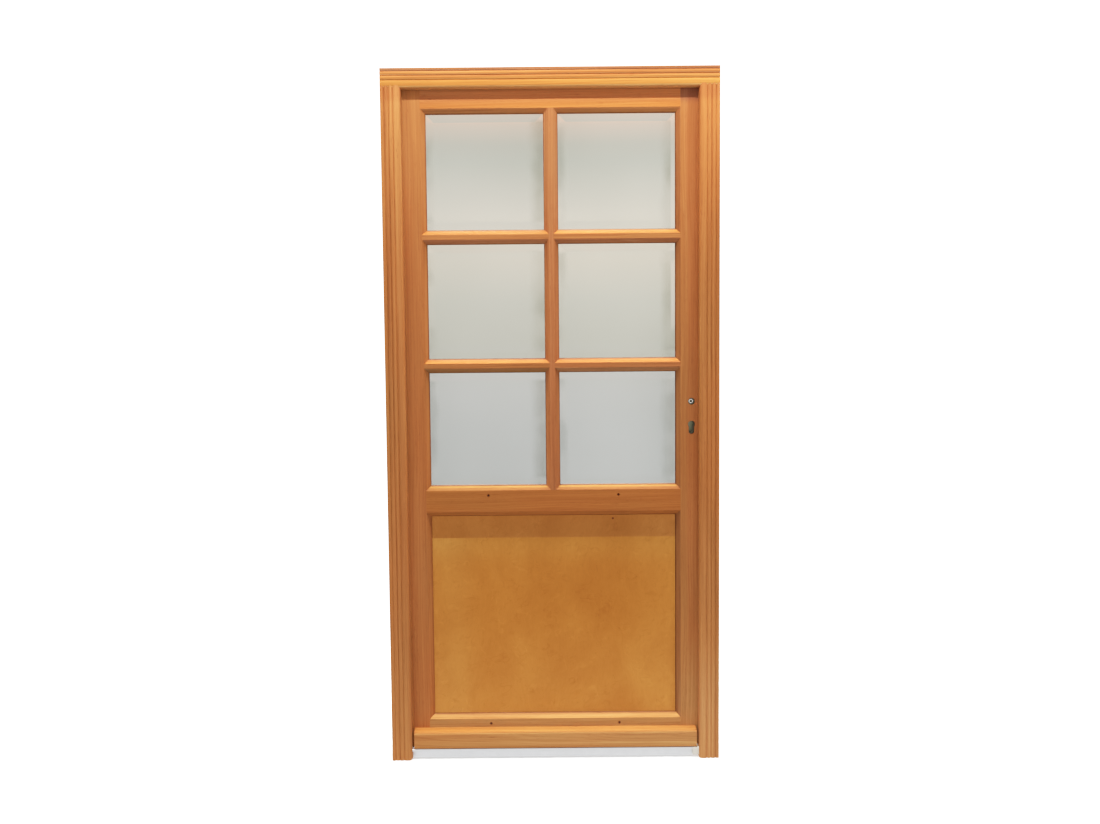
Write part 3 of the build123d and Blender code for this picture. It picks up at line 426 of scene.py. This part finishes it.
REEDS_JAMB = (0.5065, 0.4930, 0.4795)
REEDS_HEAD = (2.1480, 2.1345, 2.1210)
# each upright piece's tone and figure, with painted light from the floor low down, painted shade at the top below the
# head and on faces that look left, and painted light along the leaf's outer edges
UPRIGHT = {
    "frame_jamb_left": dict(seed=3, pith=(0.05, 0.10), hue=(1.02, 1.10, 1.18), grooves=REEDS_JAMB, painted_floor_bounce=(1.03, 1.09, 1.14),
                            head_shade=(0.90, 0.83, 0.82)),
    "frame_jamb_right": dict(seed=8, pith=(-0.04, 0.09), hue=(1.0, 1.06, 1.08), grooves=REEDS_JAMB, painted_floor_bounce=(1.06, 1.22, 1.36),
                             foot=(1.10, 1.16, 1.34), brow=(1.0, 0.95, 0.93),
                             head_shade=(0.88, 0.83, 0.86)),
    "hinge_stile": dict(seed=13, pith=(0.07, 0.08), hue=(0.96, 0.97, 1.03), contrast=0.85, edge=(1.16, 1.17, 1.18), quirk_shade=(0.92, 0.25)),
    "lock_stile": dict(seed=21, pith=(-0.05, 0.07), hue=(0.96, 1.06, 1.13), contrast=0.9, stripe=(0.413, 0.428, 0.66), bores=(0.435, 0.013, 1.025, 1.147),
                       painted_floor_bounce=(1.0, 1.08, 1.12), foot=(1.06, 1.20, 1.34), brow=(0.98, 0.91, 0.90), head_shade=(0.64, 0.64, 0.95), leftward_shade=(0.77, 0.76, 0.84),
                       edge=(1.18, 1.19, 1.20), quirk_shade=(1.0, 0.95)),
    "glazing_bar_vertical": dict(seed=34, pith=(0.06, 0.05), hue=(0.93, 0.96, 1.23)),
    "glazing_beads_vertical": dict(seed=55, pith=(0.2, 0.1)),
}
# glazing bars: painted highlight and shade across their mouldings that look up, painted tone of the shade on faces that
# look down
BAR = dict(upward_light=((0.555, 0.60, 0.735), (1.08, 0.855, 0.47)), downward_shade=(0.92, 0.97, 1.30))
LOW_BAR = dict(downward_shade=(0.94, 1.15, 1.40))
# each level piece's tone and figure, with painted highlight and shade on mouldings that look up, painted shade on faces
# that look down and below the head, and painted shade in the screw holes
LEVEL = {
    "frame_head": dict(seed=5, pith=(2.06, 0.09), hue=(1.22, 1.39, 1.00), grooves=REEDS_HEAD, downward_shade=(1.34, 1.93, 3.1), roof=(0.42, 0.36, 0.40),
                       sweep=((0.92, 0.86, 0.92), (0.97, 0.87, 0.94)), reeds=(0.90, 0.84, 1.0), cap=(0.84, 0.86, 1.12)),
    "top_rail": dict(seed=11, pith=(2.00, 0.08), hue=(1.07, 1.02, 0.88), contrast=0.8, sweep=((0.95, 0.94, 0.94), (1.15, 1.06, 0.97)), head_shade=(0.95, 1.0, 1.36), head_shade_lift=(1.13, 1.26, 1.32), downward_shade=(0.97, 1.24, 1.80)),
    "middle_rail": dict(seed=17, pith=(0.76, 0.07), hue=(0.915, 0.89, 0.77), contrast=0.7, upward_light=((0.50, 0.53, 0.78), (1.05, 1.17, 0.83), (0.72, 0.66, 0.44)),
                        holes=((-0.205, 0.840), (0.205, 0.840))),
    "bottom_rail": dict(seed=23, pith=(0.02, 0.09), hue=(0.96, 1.32, 1.57), contrast=1.15, upward_light=((0.76, 0.60, 0.41), (1.20, 1.04, 0.90)),
                        holes=((-0.205, 0.105), (0.205, 0.105))),
    "glazing_bar_upper_left": dict(seed=29, pith=(1.60, 0.06), hue=(1.00, 1.07, 1.17), **BAR),
    "glazing_bar_upper_right": dict(seed=31, pith=(1.70, 0.06), hue=(1.06, 1.14, 1.24), **BAR),
    "glazing_bar_lower_left": dict(seed=37, pith=(1.20, 0.05), hue=(0.84, 0.88, 0.90), upward_light=((0.50, 0.51, 0.88), (1.37, 1.09, 0.61)), **LOW_BAR),
    "glazing_bar_lower_right": dict(seed=41, pith=(1.29, 0.07), hue=(0.94, 0.98, 1.16), upward_light=((0.49, 0.52, 0.68), (1.21, 0.97, 0.49)), **LOW_BAR),
    "weather_bar": dict(seed=43, pith=(0.10, 0.06), hue=(1.05, 1.28, 1.45), contrast=1.15, upward_light=((0.92, 0.77, 0.58), (0.92, 0.77, 0.58)),
                        sweep=((0.94, 0.92, 0.88), (1.10, 1.16, 1.28))),
    "glazing_beads_horizontal": dict(seed=47, pith=(1.0, 0.2)),
    "panel_beads": dict(seed=53, pith=(0.4, 0.2), turn=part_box("panel_beads")[1][0] - 0.0126),
}
for name, kw in UPRIGHT.items():
    dress(name, timber("timber_" + name, "Z", **kw))
for name, kw in LEVEL.items():
    dress(name, timber("timber_" + name, "X", **kw))
dress("lower_panel", veneer("panel_veneer"))
GLINT = {"top_right": (-0.1, 0.93), "middle_right": (0.27, 0.82)}
for i, name in enumerate(sorted(n for n in NODE if n.startswith("glass_pane"))):
    lo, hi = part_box(name)
    dress(name, glass("pane_" + name[11:], i + 1, Vector(lo), Vector(hi), GLINT.get(name[11:])))

dress("threshold", brushed("threshold_aluminium", (0.90, 0.905, 0.915), 0.36, "X", 0.10, 0.55))
dress("threshold_end_block", moulded("cream_plastic", (0.78, 0.73, 0.62), 0.48))
rubber = moulded("seal_rubber", (0.115, 0.048, 0.020), 0.62)
for name in ("seal_left", "seal_right", "seal_head"):
    dress(name, rubber)
zinc = brushed("lock_zinc", (0.86, 0.83, 0.77), 0.26, "Y", 0.10, 1.0, (0.435, 1.132, 0.0054, 0.0050))
steel_z = brushed("plate_steel", (0.66, 0.65, 0.63), 0.33, "Z")
steel_hinge = brushed("hinge_steel", (0.62, 0.61, 0.59), 0.36, "Z", 0.16)
steel_screw = brushed("screw_steel", (0.60, 0.59, 0.56), 0.34, "Y", 0.16)
brass = brushed("washer_brass", (0.74, 0.53, 0.24), 0.34, "X", 0.16)
dress("lock_case", brushed("case_dark_steel", (0.200, 0.200, 0.125), 0.70, "Z", 0.2, 0.0))
dress("lock_follower", zinc)
for name in ("lock_faceplate", "strike_plate", "latch_bolt", "deadbolt"):
    dress(name, steel_z)
dress("inner_cover_plate", brushed("cover_steel", (0.66, 0.65, 0.63), 0.33, "Z", inside=(0.560, 0.555, 0.350)))
for name in NODE:
    if name.startswith(("hinge_frame_half", "hinge_leaf_half", "hinge_pin")):
        dress(name, steel_hinge)
for name in ("strike_screws", "hinge_frame_screws", "hinge_leaf_screws", "faceplate_screws", "cover_plate_screws"):
    dress(name, steel_screw)
dress("hinge_washers", brass)


# ------------------------------------------------------------------ edges
def smooth_group(angle):
    """Geometry nodes: joins split corners and shades smoothly below the given edge angle."""
    ng = bpy.data.node_groups.new("smooth_below_%d" % round(math.degrees(angle)), "GeometryNodeTree")
    ng.interface.new_socket("Geometry", in_out="INPUT", socket_type="NodeSocketGeometry")
    ng.interface.new_socket("Geometry", in_out="OUTPUT", socket_type="NodeSocketGeometry")
    n, link = ng.nodes, ng.links.new
    gin, gout = n.new("NodeGroupInput"), n.new("NodeGroupOutput")
    weld = n.new("GeometryNodeMergeByDistance")
    weld.inputs["Distance"].default_value = 0.000004
    edge = n.new("GeometryNodeInputMeshEdgeAngle")
    less = n.new("FunctionNodeCompare")
    less.data_type, less.operation = "FLOAT", "LESS_THAN"
    less.inputs[1].default_value = angle
    faces = n.new("GeometryNodeSetShadeSmooth")
    faces.domain = "FACE"
    edges = n.new("GeometryNodeSetShadeSmooth")
    edges.domain = "EDGE"
    link(gin.outputs[0], weld.inputs["Geometry"])
    link(weld.outputs[0], faces.inputs["Geometry"])
    faces.inputs["Shade Smooth"].default_value = True
    link(faces.outputs[0], edges.inputs["Geometry"])
    link(edge.outputs["Unsigned Angle"], less.inputs[0])
    link(less.outputs[0], edges.inputs["Shade Smooth"])
    link(edges.outputs[0], gout.inputs[0])
    return ng


SMOOTH = smooth_group(math.radians(32))


def soften(name):
    m = NODE[name].modifiers.new("smooth", "NODES")
    m.node_group = SMOOTH


for name in NODE:
    if "bead" not in name and not name.startswith("glass_pane"):
        soften(name)


# ------------------------------------------------------------------ floor, light, camera
def floor_disc():
    me = bpy.data.meshes.new("floor")
    bm = bmesh.new()
    rings, around = [0.0, 0.5, 1.2, 2.0, 3.0, 4.4], 96
    rows = []
    for r in rings[1:]:
        rows.append([bm.verts.new((r * math.cos(2 * math.pi * i / around), r * math.sin(2 * math.pi * i / around), 0.0))
                     for i in range(around)])
    mid = bm.verts.new((0.0, 0.0, 0.0))
    for i in range(around):
        j = (i + 1) % around
        bm.faces.new((mid, rows[0][i], rows[0][j]))
        for a, b in zip(rows, rows[1:]):
            bm.faces.new((a[i], b[i], b[j], a[j]))
    bm.to_mesh(me)
    bm.free()
    ob = bpy.data.objects.new("floor", me)
    bpy.context.scene.collection.objects.link(ob)
    ob.location = (0.0, 0.0, -0.0005)
    mat, g = new_material("floor_pale")
    p = g.add("ShaderNodeTexCoord").outputs["Object"]
    r = g.vec("LENGTH", p)
    tone = g.noise(g.vec("MULTIPLY", p, (6.0, 6.0, 6.0)), 3.0, 0.5)
    col = g.mix(tone, (0.88, 0.875, 0.865), (0.92, 0.918, 0.912))
    # seen directly the floor is a pale sweep that fades into white; the light it throws back is strongest by the door
    matt = g.add("ShaderNodeBsdfDiffuse", Color=col)
    glow = g.add("ShaderNodeEmission", Color=(1.0, 1.0, 1.0, 1.0), Strength=g.band(r, 0.2, 1.6, 1.6, 2.6))
    seen = g.add("ShaderNodeMixShader")
    g.put(seen, 0, g.band(r, 0.5, 2.2, 0.25, 1.0))
    g.put(seen, 1, matt.outputs[0])
    g.put(seen, 2, glow.outputs[0])
    _, fy, _ = g.split(p)
    gap = g.math("ABSOLUTE", fy)
    thrown = g.add("ShaderNodeEmission", Color=(1.0, 1.0, 1.0, 1.0), Strength=g.band(gap, 0.25, 1.3, FLOOR, 0.0))
    path = g.add("ShaderNodeLightPath")
    through = g.add("ShaderNodeEmission", Color=(0.99, 1.0, 0.98, 1.0), Strength=g.band(fy, 0.3, -0.6, 0.48, 1.6))
    pane = g.add("ShaderNodeMixShader")
    g.put(pane, 0, path.outputs["Is Transmission Ray"])
    g.put(pane, 1, thrown.outputs[0])
    g.put(pane, 2, through.outputs[0])
    mix = g.add("ShaderNodeMixShader")
    g.put(mix, 0, path.outputs["Is Camera Ray"])
    g.put(mix, 1, pane.outputs[0])
    g.put(mix, 2, seen.outputs[0])
    g.out(mix.outputs[0])
    me.materials.append(mat)


floor_disc()


def area(name, at, size, power, turn=(0.0, 0.0, 0.0), colour=(1.0, 1.0, 1.0)):
    data = bpy.data.lights.new(name, "AREA")
    data.shape = "RECTANGLE"
    data.size, data.size_y = size
    data.energy = power
    data.color = colour
    ob = bpy.data.objects.new(name, data)
    ob.location = at
    ob.rotation_euler = turn
    ob.visible_camera = False
    bpy.context.scene.collection.objects.link(ob)
    return ob


area("key_strip", (0.35, -0.369, 2.39), (2.6, 0.022), KEY)
area("back_strip", (0.0, 0.60, 2.60), (3.0, 0.05), 14.0)

world = bpy.data.worlds.new("studio")
bpy.context.scene.world = world
world.use_nodes = True
g = Graph(world.node_tree)
wx, wy, up = g.split(g.add("ShaderNodeTexCoord").outputs["Generated"])
# pale room behind the door, a little uneven, as it shows through the panes
behind = g.ramp(g.band(up, -0.30, 0.30, smooth=False), [
    (0.00, (0.50, 0.50, 0.49)), (0.22, (0.47, 0.475, 0.465)), (0.36, (0.520, 0.518, 0.500)), (0.415, (0.560, 0.548, 0.520)),
    (0.485, (0.565, 0.540, 0.455)), (0.545, (0.645, 0.610, 0.510)), (0.607, (0.790, 0.705, 0.570)), (0.670, (0.840, 0.765, 0.645)),
    (0.715, (0.725, 0.683, 0.580)), (0.748, (0.622, 0.608, 0.520)), (0.772, (0.614, 0.580, 0.490)), (0.796, (0.790, 0.637, 0.515)),
    (0.815, (1.030, 0.700, 0.512)),
    (1.00, (0.93, 0.66, 0.525))])
soft = g.noise(g.xyz(g.math("MULTIPLY", wx, 9.0), 3.1, g.math("MULTIPLY", up, 9.0)), 2.0, 0.5)
behind = g.mix(g.band(soft, 0.30, 0.70, 0.0, 0.6), behind, (0.90, 0.905, 0.895), "MULTIPLY")
sides = g.math("MULTIPLY", g.band(g.math("ABSOLUTE", wx), 0.070, 0.130), g.band(up, 0.06, -0.05, 0.15, 0.85))
behind = g.mix(sides, behind, (0.76, 0.775, 0.765), "MULTIPLY")
behind = g.mix(g.band(wx, 0.0, 0.045), behind, (1.055, 1.055, 1.05), "MULTIPLY")
front = g.band(up, 0.05, 0.15, 1.665, 1.25)
front = g.math("MULTIPLY", g.math("MULTIPLY", front, g.band(up, 0.75, 0.60)), g.band(wy, -0.45, -0.80))
room = g.mix(g.band(wy, -0.10, 0.15), front, behind)
room = g.mix(g.band(up, 0.965, 0.985), room, (CEILING, CEILING, CEILING * 0.98))
dim = g.add("ShaderNodeBackground", Color=room, Strength=1.0)
white = g.add("ShaderNodeBackground", Color=(1.0, 1.0, 1.0, 1.0), Strength=2.6)
mix = g.add("ShaderNodeMixShader")
g.put(mix, 0, g.add("ShaderNodeLightPath").outputs["Is Camera Ray"])
g.put(mix, 1, dim.outputs[0])
g.put(mix, 2, white.outputs[0])
end = g.add("ShaderNodeOutputWorld")
world.node_tree.links.new(mix.outputs[0], end.inputs["Surface"])

scene = bpy.context.scene
scene.view_settings.view_transform = "Standard"
scene.view_settings.look = "None"
scene.view_settings.exposure = 0.0
scene.view_settings.gamma = 1.0
# soft shoulder, as a camera has: bright orange leans to yellow before it clips
scene.view_settings.use_curve_mapping = True
tone = scene.view_settings.curve_mapping
tone.white_level = (2.0, 2.0, 2.0)
line = tone.curves[3]
pts = [(0.0, 0.0), (0.20, 0.20), (0.40, 0.395), (0.55, 0.52), (0.75, 0.645), (1.0, 0.78), (1.25, 0.88), (1.5, 0.945), (2.0, 1.0)]
line.points[0].location = (0.0, 0.0)
line.points[1].location = (1.0, 1.0)
for a, b in pts[1:-1]:
    line.points.new(a / 2.0, b)
tone.update()

cam_data = bpy.data.cameras.new("camera")
cam_data.sensor_fit = "HORIZONTAL"
cam_data.sensor_width = 36.0
cam_data.lens = 36.0 * 1115.3 / 1100.0
cam_data.clip_end = 100.0
camera = bpy.data.objects.new("camera", cam_data)
scene.collection.objects.link(camera)
pitch, roll = math.radians(-4.095), math.radians(-0.504)
fwd = Vector((0.0, math.cos(pitch), math.sin(pitch)))
right = Vector((1.0, 0.0, 0.0))
upv = right.cross(fwd)
cr = right * math.cos(roll) + upv * math.sin(roll)
cu = -right * math.sin(roll) + upv * math.cos(roll)
camera.matrix_world = Matrix(((cr.x, cu.x, -fwd.x, -0.0085), (cr.y, cu.y, -fwd.y, -3.5),
                              (cr.z, cu.z, -fwd.z, 1.352), (0.0, 0.0, 0.0, 1.0)))
scene.camera = camera
